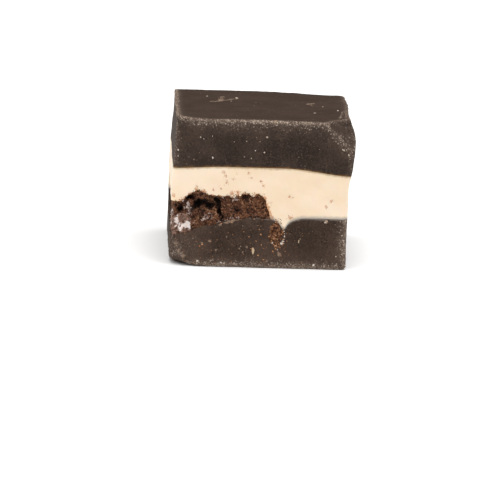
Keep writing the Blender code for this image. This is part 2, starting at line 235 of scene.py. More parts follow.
# Lines of crumbs: a flake's ridges at the right of the top and down the broken corner, scratches on
# the top, its left edge, two curls on the lower front, the foot and the two corners over it. Each is
# a run of points in x, y and z, with its count and its spread
RIDGES = [
    ([(15.9, -14.2, 31.3), (16.5, -9.0, 31.5), (17.1, -4.6, 31.5)], 260, 0.12),
    ([(17.6, -3.7, 31.4), (17.5, -8.0, 31.3), (17.3, -13.0, 30.6), (17.2, -15.0, 28.6)], 380, 0.12),
    ([(-11.6, 3.0, 31.6), (-9.5, 4.9, 31.6), (-5.3, 7.7, 31.6)], 80, 0.35),
    ([(-9.7, 4.6, 31.6), (-8.9, 7.5, 31.6), (-8.1, 10.5, 31.6)], 60, 0.5),
    ([(10.1, 3.9, 31.6), (11.3, 4.8, 31.6)], 80, 0.35),
    ([(10.4, 3.0, 31.6), (10.6, 2.0, 31.6)], 14, 0.15),
    ([(-18.5, 18.0, 31.9), (-18.5, 0.0, 32.0), (-18.4, -18.0, 32.2)], 420, 0.09),
    ([(-17.8, -19.0, 4.8), (-17.1, -19.0, 4.3), (-17.1, -19.0, 3.5), (-17.6, -19.0, 3.0)], 70, 0.1),
    (
        [(-4.5, -19.0, 4.4), (-3.9, -19.0, 4.9), (-3.2, -19.0, 4.7), (-3.0, -19.0, 3.9), (-3.5, -19.0, 3.2)],
        40, 0.12,
    ),
    ([(-13.5, -19.0, 0.9), (-6.0, -19.0, 0.5), (18.0, -19.0, 0.45)], 900, 0.14),
    ([(18.3, -18.8, 9.5), (18.2, -18.8, 5.0), (17.6, -18.8, 1.0)], 220, 0.2),
    ([(-18.9, -18.6, 8.0), (-18.6, -18.6, 4.0), (-17.0, -18.6, 1.5), (-14.0, -18.8, 0.7)], 200, 0.2),
]

# Holes in the biscuit's front, cream smeared on it and painted shade on its darkest parts: x and
# z, then width, height and depth, or size
HOLES = [
    (-13.6, 13.4, 1.0, 0.8, 1.8), (-14.4, 12.4, 0.6, 0.6, 1.3), (-9.6, 14.0, 0.8, 0.6, 1.5),
    (-8.9, 11.6, 0.5, 1.0, 1.1), (-8.5, 10.3, 0.4, 0.4, 1.2), (-17.8, 12.3, 0.8, 0.6, 1.5),
    (-5.3, 12.3, 0.5, 0.4, 1.1), (-15.6, 15.0, 1.0, 0.35, 1.8),
]
SMEARS = [
    (-16.1, 13.2, 0.5), (-16.5, 12.7, 0.5), (-15.2, 12.0, 0.6), (-15.6, 11.3, 0.6), (-16.1, 10.6, 0.5),
    (-5.9, 14.7, 0.55), (-8.2, 15.1, 0.4), (-12.4, 15.6, 0.4), (-12.3, 10.3, 0.5), (-11.6, 10.6, 0.5),
    (-10.8, 11.0, 0.5), (-9.4, 9.3, 0.35), (-8.7, 9.5, 0.35), (-7.9, 9.8, 0.4), (-7.2, 10.1, 0.45),
    (-6.4, 10.4, 0.45), (-5.6, 10.7, 0.4), (-4.8, 10.9, 0.35), (-17.6, 14.1, 0.5), (-17.2, 14.4, 0.4),
    (-2.2, 10.8, 0.3), (-1.4, 10.8, 0.3), (-14.6, 9.4, 0.35),
]
PAINTED_SHADE_SPOTS = [
    (-13.6, 13.3, 1.0), (-14.5, 12.4, 0.8), (-12.5, 13.7, 0.8), (-9.5, 14.1, 0.7), (-9.2, 12.8, 0.55),
    (-8.9, 11.2, 0.5), (-8.5, 10.2, 0.5), (-17.9, 12.4, 0.9), (-18.8, 12.9, 0.6), (-15.6, 15.0, 0.7),
    (-14.7, 15.0, 0.5), (-16.5, 15.2, 0.4), (-3.5, 14.9, 0.7), (-5.5, 12.4, 0.6), (-11.2, 12.8, 0.8),
    (-2.0, 11.8, 0.4), (-14.0, 11.0, 0.5), (-12.9, 11.8, 0.7),
]


def ease(low, high, value):
    """0 up to low and 1 from high on, with a smooth rise between them."""
    share = np.clip((value - low) / (high - low), 0.0, 1.0)
    return share * share * (3.0 - 2.0 * share)


def hump(value, width):
    """1 at zero, fading smoothly to nothing past about twice the width."""
    return np.exp(-((value / width) ** 2))


def rows(*columns):
    return np.stack(columns, axis=-1)


def ripple(x, y, z, length, height, seed):
    """Smooth unevenness of that height, in waves about that long."""
    x, y, z = np.broadcast_arrays(x, y, z)
    points = rows(x, y, z).reshape(-1, 3) / length + seed
    values = [noise.noise(point) for point in points.tolist()]
    return height * np.array(values).reshape(x.shape)


def left_cut(y, z):
    lean = LEFT_LEAN * ease(15.0, HEIGHT, z) - LEFT_FLARE * ease(-19.0, 10.0, y)
    return LEFT_CUT + lean + ripple(0.0, y, z, RIPPLE_LENGTH, CUT_RIPPLE, 3.1)


def right_cut(y, z):
    lean = RIGHT_LEAN * ease(16.5, 22.5, z)
    lean = lean - RIGHT_TUCK * ease(28.0, HEIGHT, z) * hump(y - TUCK_PLACE, TUCK_SPREAD)
    lip = LIP * hump(y - LIP_PLACE[0], LIP_SPREAD[0]) * hump(z - LIP_PLACE[1], LIP_SPREAD[1])
    return RIGHT_CUT + lean + lip + ripple(0.0, y, z, RIPPLE_LENGTH, CUT_RIPPLE, 7.7)


def front_cut(x, z):
    return FRONT_CUT + ripple(x, 0.0, z, RIPPLE_LENGTH, CUT_RIPPLE, 12.3)


def back_cut(x, z):
    return BACK_CUT + ripple(x, 0.0, z, RIPPLE_LENGTH, CUT_RIPPLE, 17.9)


def top_face(x, y):
    """Height of the poured top, with a burr along its left edge, which rises to a horn at the
    front, and a low back right corner."""
    burr = BURR * hump(x - (LEFT_CUT + LEFT_LEAN), BURR_WIDTH) * ease(19.0, 0.0, y)
    burr = burr + HORN * hump(np.hypot(x - (LEFT_CUT + LEFT_LEAN), y - FRONT_CUT), HORN_REACH)
    drop = BACK_CORNER_DROP * ease(0.0, 19.0, x) * ease(0.0, 19.0, y)
    return HEIGHT + burr - drop + ripple(x, y, 0.0, RIPPLE_LENGTH, TOP_RIPPLE, 23.3)


def upper_join(x, y):
    left = UPPER_JOIN_LEFT_DROP * ease(-8.0, -19.0, x)
    right = UPPER_JOIN_RIGHT_DROP * ease(4.0, 20.0, x)
    wave = ripple(x, y, 0.0, RIPPLE_LENGTH, JOIN_RIPPLE, 31.7) * ease(-19.0, -12.0, y)
    return UPPER_JOIN - left - right + wave


def lower_join(x, y):
    """The lower chocolate's surface, with the groove that opens at the front cut."""
    away = x - GROOVE_X
    groove = GROOVE_DEPTH * hump(away, GROOVE_WIDTH) + SHOULDER_DEPTH * hump(away, SHOULDER_WIDTH)
    wave = ripple(x, y, 0.0, RIPPLE_LENGTH, JOIN_RIPPLE, 41.9) * ease(-19.0, -12.0, y)
    return LOWER_JOIN - groove * hump(y - FRONT_CUT, GROOVE_BACK) + wave


def round_in(depth, radius):
    """How far a rounded rim stands back at that depth below its face."""
    under = np.clip(radius - depth, 0.0, radius)
    return radius - np.sqrt(np.maximum(radius * radius - under * under, 0.0))


def round_corner(from_side, from_end, radius):
    """Distances from two cuts that meet, moved so that their corner becomes a round of that radius."""
    side, end = radius - from_side, radius - from_end
    inside = (side > 0.0) & (end > 0.0)
    length = np.where(inside, np.hypot(side, end), 1.0)
    share = np.where(inside, np.maximum(side, end) / length, 1.0)
    return radius - side * share, radius - end * share


def outline(across, along, z):
    """x and y of the square at height z. across runs from the left cut to the right one and along
    from the front cut to the back one, each from 0 to 1. The first corner is the worn one."""
    y = FRONT_CUT + (BACK_CUT - FRONT_CUT) * along
    x = LEFT_CUT + (RIGHT_CUT - LEFT_CUT) * across
    left, right = left_cut(y, z), right_cut(y, z)
    front, back = front_cut(x, z), back_cut(x, z)
    x = left + (right - left) * across
    y = front + (back - front) * along
    worn = hump(np.hypot(x - LEFT_CUT, y - FRONT_CUT), WORN_REACH)
    stand_back = round_in(z, FOOT_RADIUS + WORN_RADIUS * worn) + round_in(top_face(x, y) - z, TOP_RADIUS)
    x = x + stand_back * (1.0 - 2.0 * across)
    y = y + stand_back * (1.0 - 2.0 * along)
    left, right = left + stand_back, right - stand_back
    front, back = front + stand_back, back - stand_back
    corner = CORNER_RADIUS + WORN_RADIUS * (1.0 - ease(*WORN_HEIGHT, z)) * worn
    corners = ((left, front, 1, 1), (right, front, -1, 1), (left, back, 1, -1), (right, back, -1, -1))
    for side, end, inwards, onwards in corners:
        from_side, from_end = round_corner(inwards * (x - side), onwards * (y - end), corner)
        x, y = side + inwards * from_side, end + onwards * from_end
        corner = CORNER_RADIUS
    return x, y


def lattice(cells, seed):
    """A repeatable random number from 0 to 1 for each whole-numbered point."""
    x, y, z = cells.astype(np.int64).T
    mixed = (x * 374761393 + y * 668265263 + z * 2147483647 + seed * 1274126177) & 0xFFFFFFFF
    mixed = ((mixed ^ (mixed >> 13)) * 1103515245) & 0xFFFFFFFF
    mixed = ((mixed ^ (mixed >> 16)) * 2654435769) & 0xFFFFFFFF
    return ((mixed ^ (mixed >> 15)) & 0xFFFFFF) / 0xFFFFFF


def grain(points, size, seed):
    """Smooth noise from -1 to 1 with bumps of about that size."""
    cell = np.floor(points / size)
    part = points / size - cell
    part = part * part * (3.0 - 2.0 * part)
    total = np.zeros(len(points))
    for corner in itertools.product((0, 1), repeat=3):
        weight = np.prod(np.where(corner, part, 1.0 - part), axis=1)
        total += weight * lattice(cell + corner, seed)
    return total * 2.0 - 1.0


def pebbles(points, size, seed):
    """Distance to the nearest of a random scatter of centres, one to a cell of that size, in cells."""
    at = points / size
    cell = np.floor(at)
    best = np.full(len(points), 9.0)
    for corner in itertools.product((-1, 0, 1), repeat=3):
        near = cell + corner
        centre = near + rows(*(lattice(near, seed + k) for k in range(3)))
        best = np.minimum(best, np.linalg.norm(at - centre, axis=1))
    return best


def link(name, data):
    made = bpy.data.objects.new(name, data)
    bpy.context.scene.collection.objects.link(made)
    return made


def object_of(name, bm):
    """The object that holds a bmesh, which is freed."""
    mesh = bpy.data.meshes.new(name)
    bm.to_mesh(mesh)
    bm.free()
    return link(name, mesh)


def cut_box(name, cuts):
    """A box from 0 to 1 each way, cut evenly along X, Y and Z, as an object without a shape yet."""
    bm = bmesh.new()
    bmesh.ops.create_cube(bm, size=1.0, matrix=Matrix.Translation((0.5, 0.5, 0.5)))
    for axis, count in enumerate(cuts):
        edges = [edge for edge in bm.edges if abs((edge.verts[1].co - edge.verts[0].co)[axis]) > 1e-6]
        if count:
            bmesh.ops.subdivide_edges(bm, edges=edges, cuts=count, use_grid_fill=True)
    return object_of(name, bm)


def rows_of(items, name):
    values = np.empty(len(items) * 3, np.float32)
    items.foreach_get(name, values)
    return values.astype(float).reshape(-1, 3)


def points_of(mesh):
    """The vertices' places, one a row."""
    return rows_of(mesh.vertices, "co")


def surface(piece):
    """The vertices' places in millimetres and their normals."""
    return points_of(piece.data) / MM, rows_of(piece.data.vertex_normals, "vector")


def set_points(obj, points):
    """Moves the vertices to these places, in millimetres, and turns the faces outwards."""
    obj.data.vertices.foreach_set("co", (points * MM).astype(np.float32).ravel())
    obj.data.update()
    bm = bmesh.new()
    bm.from_mesh(obj.data)
    if bm.calc_volume(signed=True) < 0.0:
        bmesh.ops.reverse_faces(bm, faces=bm.faces)
    bm.to_mesh(obj.data)
    bm.free()


def set_mark(obj, name, values):
    """Stores a number on each vertex for the material to read."""
    layer = obj.data.attributes.new(name, "FLOAT", "POINT")
    layer.data.foreach_set("value", np.asarray(values, np.float32))


def from_faces(points):
    """Distances inwards from the left, right, front, back, top and foot of the square."""
    x, y, z = points.T
    sides = (x - left_cut(y, z), right_cut(y, z) - x, y - front_cut(x, z), back_cut(x, z) - y)
    return (*sides, top_face(x, y) - z, z)


def chip_frame():
    """The broken corner's face: a point on it and its sideways, upward and outward directions."""
    corner = Vector((RIGHT_CUT + RIGHT_LEAN, FRONT_CUT, HEIGHT))
    on_front = corner - Vector((CHIP_ALONG_FRONT, 0.0, 0.0))
    on_side = corner + Vector((0.0, CHIP_ALONG_SIDE, 0.0))
    on_edge = corner - Vector((0.0, 0.0, CHIP_DOWN))
    outward = (on_side - on_edge).cross(on_front - on_edge).normalized()
    sideways = (on_side - on_front).normalized()
    return (on_front + on_side + on_edge) / 3.0, sideways, outward.cross(sideways), outward


def wear_and_sheen(points):
    """How pale and crumbly the chocolate's edges are, from 0 to 1: worn, and with a painted sheen."""
    left, right, front, back, top, foot = from_faces(points)
    low = ease(13.0, 10.0, points[:, 2])
    middle, _, _, outward = chip_frame()
    from_middle = points - np.array(middle)
    away = np.linalg.norm(from_middle, axis=1)
    depth = np.abs(from_middle @ np.array(outward))
    broken = 0.14 * np.exp(-depth / 0.4) * ease(9.0, 6.5, away)
    rims = (
        np.hypot(depth / 0.8, front / 0.4),
        np.hypot(depth / 0.4, top / 0.3),
        np.hypot(depth / 0.5, right / 0.4),
    )
    rim = np.exp(-np.min(rims, axis=0)) * ease(8.0, 6.0, away)
    corner = 0.45 * np.exp(-np.linalg.norm(points - (LEFT_CUT + 1.0, FRONT_CUT + 1.0, 3.0), axis=1) / 2.4)

    def edge(first, second, first_reach, second_reach, strength):
        return strength * np.exp(-np.hypot(first / first_reach, second / second_reach))

    # Part of the paleness is a painted sheen: the band under the top front edge, the line along the top left
    # edge, the left face and the front of the foot are made paler where light catches them.
    edges = [
        edge(top, front, 1.2, 0.3, 0.6),
        edge(top, front, 0.6, 0.4, 1.3),
        edge(top, left, 0.5, 0.4, 2.0),
        edge(top, back, 0.5, 0.3, 0.3),
        edge(top, right, 0.6, 0.5, 0.7),
        edge(front, left, 2.0, 0.7, 0.45),
        0.1 * np.exp(-left / 0.2),
        edge(front, right, 0.7, 0.8, 0.4 + 0.9 * low),
        edge(foot, front, 0.8, 1.8, 1.2),
        *(edge(back, side, 0.6, 0.6, 0.45) for side in (left, right)),
        *(edge(foot, side, 1.0, 0.8, 0.9) for side in (left, right, back)),
        broken,
        0.5 * rim,
        corner,
    ]
    return np.clip(np.max(edges, axis=0), 0.0, 1.0)


def outward_of(points):
    """The way out of the square at its faces, and nothing well inside it."""
    left, right, front, back, top, foot = from_faces(points)

    def near(distance):
        return ease(1.0, 0.0, distance)

    ways = rows(near(right) - near(left), near(back) - near(front), near(top))
    length = np.linalg.norm(ways, axis=1, keepdims=True)
    return ways / np.maximum(length, 1.0) * ease(0.0, 0.4, foot)[:, None]


def roughened(points, worn):
    """The layers' cut and poured faces with their fine unevenness, which is deeper at worn edges."""
    fine = 0.045 * grain(points, 1.9, 1) + 0.03 * grain(points, 0.8, 2) + 0.016 * grain(points, 0.45, 3)
    crumbly = 0.20 * grain(points, 0.62, 4) + 0.10 * grain(points, 1.3, 5) - 0.08
    return points + outward_of(points) * (fine + ease(0.2, 0.85, worn) * crumbly)[:, None]


def layer(name, floor, roof, crowd):
    """One poured layer between two surfaces. crowd above 1 crowds the rows towards the floor, and
    below 0 towards the roof."""
    cuts = (round((RIGHT_CUT - LEFT_CUT) / CELL), round((BACK_CUT - FRONT_CUT) / CELL), ROWS_UP)
    made = cut_box(name, cuts)
    across, along, up = points_of(made.data).T
    up = 1.0 - (1.0 - up) ** -crowd if crowd < 0.0 else up**crowd
    x, y = outline(across, along, LOWER_JOIN)
    for _ in range(2):
        z = floor(x, y) * (1.0 - up) + roof(x, y) * up
        x, y = outline(across, along, z)
    points = rows(x, y, z)
    set_points(made, roughened(points, wear_and_sheen(points)))
    return made


def biscuit_top(x, y):
    """The upper wafer's surface: a dip at the left, a raised flake and a rise to the right, in front."""
    near_front = hump(y - FRONT_CUT, 6.0)
    shape = -1.4 * hump(x + 18.6, 1.9) + 1.0 * hump(x + 13.5, 1.6) - 0.25 * hump(x + 8.5, 3.0)
    crag = ripple(x, y, 5.0, CRAG_LENGTH, 0.35, 2.2)
    return BISCUIT_TOP + (shape + 0.6 * ease(-7.0, -5.0, x)) * near_front + crag


def biscuit_base(x, y):
    """The underside, which drops to the left, where the filling and lower wafer are still there."""
    drop = BISCUIT_BASE_DROP * np.clip((-2.5 - x) / 14.5, 0.0, 1.0) ** 1.5
    return BISCUIT_BASE - drop + ripple(x, y, 9.0, CRAG_LENGTH, 0.2, 4.4)


def cut_relief(along, z, seed):
    """How far the biscuit's broken face lies behind a cut: a little everywhere, and in crags."""
    return CUT_RECESS + BISCUIT_CRAG * (0.5 + ripple(along, 0.0, z, CRAG_LENGTH, 1.0, seed))


def crumbled(points, seed):
    """The broken wafer's open crumb: how far each place lies behind its pebbly front."""
    pores = np.clip(grain(points, 1.3, seed) - 0.25, 0.0, 1.0)
    return 0.42 * pebbles(points, 0.85, seed + 1) + 0.22 * pebbles(points, 0.42, seed + 5) + 1.5 * pores - 0.3


def press_in(place, cut, relief, fade):
    """Places behind a cut, pushed back by the relief at the cut and ever less further in."""
    return place + relief * hump(place - cut, fade)


def biscuit(name):
    """The part of the disc inside the square, with its vertices at the left cut and at the front."""
    made = cut_box(name, BISCUIT_CELLS)
    across, along, up = points_of(made.data).T
    corner = Vector((LEFT_CUT, FRONT_CUT))
    turn = np.arctan2(along, np.maximum(across, 1e-9))
    turn = np.where((across == 0.0) & (along == 0.0), math.pi / 4.0, turn)
    offset = corner - Vector(BISCUIT_CENTRE)
    radius = BISCUIT_RADIUS + BISCUIT_SLANT * (0.5 - up)
    towards = offset.x * np.cos(turn) + offset.y * np.sin(turn)
    rim = -towards + np.sqrt(towards**2 - offset.length_squared + radius**2)
    share = np.maximum(across, along)
    x = corner.x + share * rim * np.cos(turn)
    y = corner.y + share * rim * np.sin(turn)
    x = x + 0.3 * grain(rows(x, y, 5.0 * up), 0.9, 13) * ease(0.85, 1.0, share)
    roof = biscuit_top(x, y) - RIM_DROP * ease(0.9, 1.0, share) ** 2
    z = biscuit_base(x, y) * (1.0 - up) + roof * up
    points = rows(x, y, z)
    ragged = 0.42 * grain(points, 1.0, 11) + 0.24 * grain(points, 0.42, 12)
    ragged = ragged + 0.5 * hump(x + 15.9, 0.8) + 0.8 * hump(x + 9.8, 1.0)
    z = z + ragged * np.where(up > 0.5, 1.0, -0.4) * np.abs(2.0 * up - 1.0)
    points = rows(x, y, z)
    about = warped(points, 0.9, 0.55, 14)
    spots = [(*HOLLOW_PLACE, *HOLLOW_SPREAD, HOLLOW_DEPTH), *HOLES]
    holes = [
        depth * hump(about[:, 0] - at_x, wide) * hump(about[:, 2] - at_z, high)
        for at_x, at_z, wide, high, depth in spots
    ]
    crumb = crumbled(points, 21)
    at_front = cut_relief(x, z, 5.5) + np.max(holes, axis=0) + crumb
    at_left = cut_relief(y, z, 6.6) + crumb
    pressed = press_in(y, FRONT_CUT, at_front, 4.0)
    set_points(made, rows(press_in(x, LEFT_CUT, at_left, 3.0), pressed, z))
    # Painted shade: the further the cut face lies back, the darker it is painted.
    set_mark(made, "recess_shade", ease(0.9, 2.4, np.where(along == 0.0, at_front, at_left)))
    set_mark(made, "smear", near_spots(warped(points, 0.8, 0.5, 18), SMEARS, 1.0))
    # Painted shade over the hollows and, fainter, over the left part near the front.
    painted_shade = 0.28 * ease(-5.0, -12.0, x) * hump(y - FRONT_CUT, 2.0)
    set_mark(made, "shade", np.maximum(near_spots(warped(points, 0.9, 0.4, 24), PAINTED_SHADE_SPOTS, 1.25), painted_shade))
    return made, across == 0.0, along == 0.0


def filling(name):
    """The white filling, a tongue that thins out to the right and back, with its cut vertices."""
    made = cut_box(name, FILLING_CELLS)
    across, along, up = points_of(made.data).T
    width = FILLING_WIDTH * np.sqrt(1.0 - 0.85 * along**2)
    length = FILLING_LENGTH * np.sqrt(1.0 - 0.6 * across**2)
    x = LEFT_CUT + width * across
    y = FRONT_CUT + length * along
    half = (FILLING_HALF - FILLING_THINNING * along) * np.sqrt(1.0 - 0.8 * across**3)
    half = half * np.sqrt(1.0 - 0.8 * along**6)
    crag = ripple(x, y, up * 4.0, 1.7, FILLING_CRAG, 8.8)
    z = FILLING_MIDDLE - 0.5 * along + half * (2.0 * up - 1.0) + crag
    points = rows(x, y, z)
    z = z + (0.5 * grain(points, 1.1, 31) + 0.2 * grain(points, 0.4, 32)) * (2.0 * up - 1.0)
    x = x + 0.7 * grain(points, 1.4, 35) * across
    rough = 0.45 * grain(points, 1.0, 33) + 0.2 * grain(points, 0.4, 34)
    pressed = press_in(y, FRONT_CUT, CUT_RECESS + ripple(x, 0.0, z, 1.6, FILLING_CRAG, 9.9) + rough, 2.0)
    x = press_in(x, LEFT_CUT, CUT_RECESS + ripple(0.0, y, z, 1.6, FILLING_CRAG, 10.1) + rough, 1.5)
    set_points(made, rows(x, pressed, z))
    clean = near_spots(warped(points, 0.8, 0.35, 36), CLEAN_SPOTS, 0.9)
    set_mark(made, "clean", np.maximum(clean, 0.45 * ease(-18.0, -15.0, y)))
    return made, across == 0.0, along == 0.0


def chunk(name):
    """The chunk: a craggy ball flattened by the front cut, with its cut vertices, none at the left."""
    bm = bmesh.new()
    bmesh.ops.create_icosphere(bm, subdivisions=CHUNK_ROUND, radius=1.0)
    made = object_of(name, bm)
    ball = points_of(made.data)
    crag = 1.0 + ripple(*ball.T, 0.55, CHUNK_CRAG / CHUNK_RADII[0], 13.1)
    points = np.array(CHUNK_CENTRE) + np.array(CHUNK_RADII) * ball * crag[:, None]
    points += ball * (0.16 * grain(points, 0.6, 41))[:, None]
    face = FRONT_CUT + CUT_RECESS + ripple(points[:, 0], 0.0, points[:, 2], 2.0, CHUNK_CRAG, 14.3)
    face = face + 0.6 * crumbled(points, 42)
    at_front = points[:, 1] < face
    points[:, 1] = np.maximum(points[:, 1], face)
    set_points(made, points)
    return made, np.zeros(len(points), bool), at_front


def pocket(name, solid, at_left, at_front):
    """The cutter for a piece's hollow, which runs out past the cuts and lets the piece bite in."""
    made = link(name, solid.data.copy())
    points, normals = surface(solid)
    points = points - BITE * normals
    points[at_left, 0] = LEFT_CUT - REACH
    points[at_front, 1] = FRONT_CUT - REACH
    set_points(made, points)
    return made


def chip(name):
    """The cutter for the broken corner, with a rough face."""
    middle, sideways, upward, outward = (np.array(part) for part in chip_frame())
    made = cut_box(name, CHIP_CELLS)
    right, up, out = points_of(made.data).T
    right, up = (right - 0.5) * 2.0 * CHIP_CUTTER, (up - 0.5) * 2.0 * CHIP_CUTTER
    flat = rows(right, up, 0.0 * up)
    crag = ripple(right, up, 0.0, 2.5, CHIP_RIPPLE, 15.7)
    crag = crag + 0.22 * grain(flat, 1.1, 51) + 0.12 * grain(flat, 0.5, 52)
    crag = crag + 0.25 * np.abs(grain(flat, 2.4, 53))
    out = out * CHIP_CUTTER + np.where(out == 0.0, crag, 0.0)
    set_points(made, middle + right[:, None] * sideways + up[:, None] * upward + out[:, None] * outward)
    return made


def cut_out(piece, *cutters):
    """Takes each cutter's shape out of the piece."""
    for cutter in cutters:
        modifier = piece.modifiers.new(cutter.name, "BOOLEAN")
        modifier.operation = "DIFFERENCE"
        modifier.solver = "MANIFOLD"
        modifier.object = cutter
    bpy.context.view_layer.update()
    graph = bpy.context.evaluated_depsgraph_get()
    mesh = bpy.data.meshes.new_from_object(piece.evaluated_get(graph))
    piece.modifiers.clear()
    piece.data = mesh


def slide(shift, normals):
    """The part of each shift that runs along the surface."""
    return shift - normals * np.sum(shift * normals, axis=1, keepdims=True)


def seats(piece, wanted, count, seed):
    """Up to count places on the piece's surface, with the normals there, in millimetres: those
    where wanted(points, normals) times a random number is highest."""
    rng = np.random.default_rng(seed)
    points, normals = surface(piece)
    chance = wanted(points, normals) * rng.random(len(points))
    chosen = np.argsort(-chance)[:count]
    chosen = chosen[chance[chosen] > 0.0]
    shift = rng.uniform(-0.6 * CELL, 0.6 * CELL, (len(chosen), 3))
    return points[chosen] + slide(shift, normals[chosen]), normals[chosen]


def nearest(piece, spots):
    """The spots brought down to the piece's surface, with the normals there."""
    points, normals = surface(piece)
    tree = kdtree.KDTree(len(points))
    for number, point in enumerate(points):
        tree.insert(point, number)
    tree.balance()
    found = [tree.find(spot)[1] for spot in spots]
    return points[found] + slide(spots - points[found], normals[found]), normals[found]


def bits(name, places, ways, radii, sink, detail, seed):
    """Irregular crumbs at these places, sunk by that share of their radius, as one piece. Each has
    a tone of its own from 0 to 1."""
    rng = np.random.default_rng(seed)
    bm = bmesh.new()
    bmesh.ops.create_icosphere(bm, subdivisions=detail, radius=1.0)
    ball = np.array([vert.co for vert in bm.verts])
    faces = np.array([[vert.index for vert in face.verts] for face in bm.faces])
    bm.free()
    count = len(places)
    points = np.repeat(ball[None], count, axis=0)
    shift = rng.uniform(0.0, 900.0, (count, 1, 3))
    lumps = grain((points + shift).reshape(-1, 3), 0.8, seed).reshape(count, -1, 1)
    points = points * (1.0 + 0.5 * lumps) * rng.uniform(0.6, 1.25, (count, 1, 3))
    for number in range(count):
        turn = Euler(rng.uniform(0.0, math.tau, 3)).to_matrix()
        points[number] = points[number] @ np.array(turn)
    points = points * radii[:, None, None] + (places - ways * (radii * sink)[:, None])[:, None]
    corners = (faces[None] + np.arange(count)[:, None, None] * len(ball)).reshape(-1, 3)
    mesh = bpy.data.meshes.new(name)
    mesh.from_pydata((points * MM).reshape(-1, 3), [], corners)
    made = link(name, mesh)
    set_mark(made, "tone", np.repeat(rng.random(count), len(ball)))
    return made


def tone(red, green, blue):
    """A colour as screens show it, from 0 to 255, as a node's colour."""
    shares = [value / 255.0 for value in (red, green, blue)]
    return (*(s / 12.92 if s < 0.04045 else ((s + 0.055) / 1.055) ** 2.4 for s in shares), 1.0)


class Look:
    """A material's nodes, with short calls for the ones that this script uses. Its colour is laid
    on in coats."""

    def __init__(self, name, roughness, specular):
        self.material = bpy.data.materials.new(name)
        self.material.use_nodes = True
        self.nodes = self.material.node_tree.nodes
        self.links = self.material.node_tree.links
        self.shader = self.nodes["Principled BSDF"]
        self.shader.inputs["Roughness"].default_value = roughness
        self.shader.inputs["Specular IOR Level"].default_value = specular
        self.where = self.add("TexCoord", {}).outputs["Object"]

    def soften(self, weight, radius, scale):
        """Lets light in under the surface, to a depth of about scale in millimetres."""
        for name, value in (("Weight", weight), ("Radius", radius), ("Scale", scale * MM)):
            self.shader.inputs["Subsurface " + name].default_value = value

    def add(self, kind, sockets, **settings):
        """A node with its settings, and with values, tones or links put into its sockets, which are
        given by name or number."""
        node = self.nodes.new("ShaderNode" + kind)
        for name, value in settings.items():
            setattr(node, name, value)
        for name, value in sockets.items():
            self.put(value, node.inputs[name])
        return node

    def put(self, value, socket):
        if isinstance(value, bpy.types.NodeSocket):
            self.links.new(value, socket)
        else:
            socket.default_value = tone(*value) if socket.type == "RGBA" else value

    def place(self, size, stretch=(1.0, 1.0, 1.0)):
        """Coordinates that grow by 1 over that size, longer where stretched."""
        scale = tuple(1.0 / (MM * size * part) for part in stretch)
        return self.add("Mapping", {"Vector": self.where, "Scale": scale}).outputs["Vector"]

    def noise(self, size, detail=3.0, stretch=(1.0, 1.0, 1.0), rough=0.55):
        where = self.place(size, stretch)
        sockets = {"Vector": where, "Scale": 1.0, "Detail": detail, "Roughness": rough}
        return self.add("TexNoise", sockets).outputs["Fac"]

    def cells(self, size):
        """Distance to the nearest of random centres about that far apart, and two random numbers
        from 0 to 1 that belong to it."""
        node = self.add("TexVoronoi", {"Vector": self.place(size), "Scale": 1.0})
        own = self.add("SeparateColor", {"Color": node.outputs["Color"]})
        return node.outputs["Distance"], own.outputs[0], own.outputs[1]

    def mark(self, name):
        return self.add("Attribute", {}, attribute_name=name).outputs["Fac"]

    def ramp(self, value, low, high, start=0.0, end=1.0):
        """A smooth rise from start to end as the value goes from low to high."""
        sockets = {"Value": value, "From Min": low, "From Max": high, "To Min": start, "To Max": end}
        return self.add("MapRange", sockets, interpolation_type="SMOOTHSTEP").outputs["Result"]

    def math(self, kind, first, second):
        return self.add("Math", {0: first, 1: second}, operation=kind).outputs["Value"]

    def plus(self, total, *others):
        for other in others:
            total = self.math("ADD", total, other)
        return total

    def times(self, first, second):
        return self.math("MULTIPLY", first, second)

    def ragged(self, name, size, rough, low, high):
        """A mark whose edge is made ragged by noise from low to high."""
        edge = self.ramp(self.noise(size, 4.0, rough=rough), 0.25, 0.75, low, high)
        return self.plus(self.mark(name), edge)

    def mix(self, share, first, second):
        return self.add("Mix", {0: share, 6: first, 7: second}, data_type="RGBA").outputs[2]

    def coat(self, share, colour):
        """Lays a colour over what is there, as thick as the share."""
        self.colour = self.mix(share, self.colour, colour)

    def finish(self, *heights):
        """Puts in the colour and the relief, whose heights are in millimetres and add up."""
        self.put(self.colour, self.shader.inputs["Base Color"])
        bump = self.add("Bump", {"Height": self.plus(*heights), "Distance": MM, "Strength": 1.0})
        self.put(bump.outputs["Normal"], self.shader.inputs["Normal"])
        return self.material


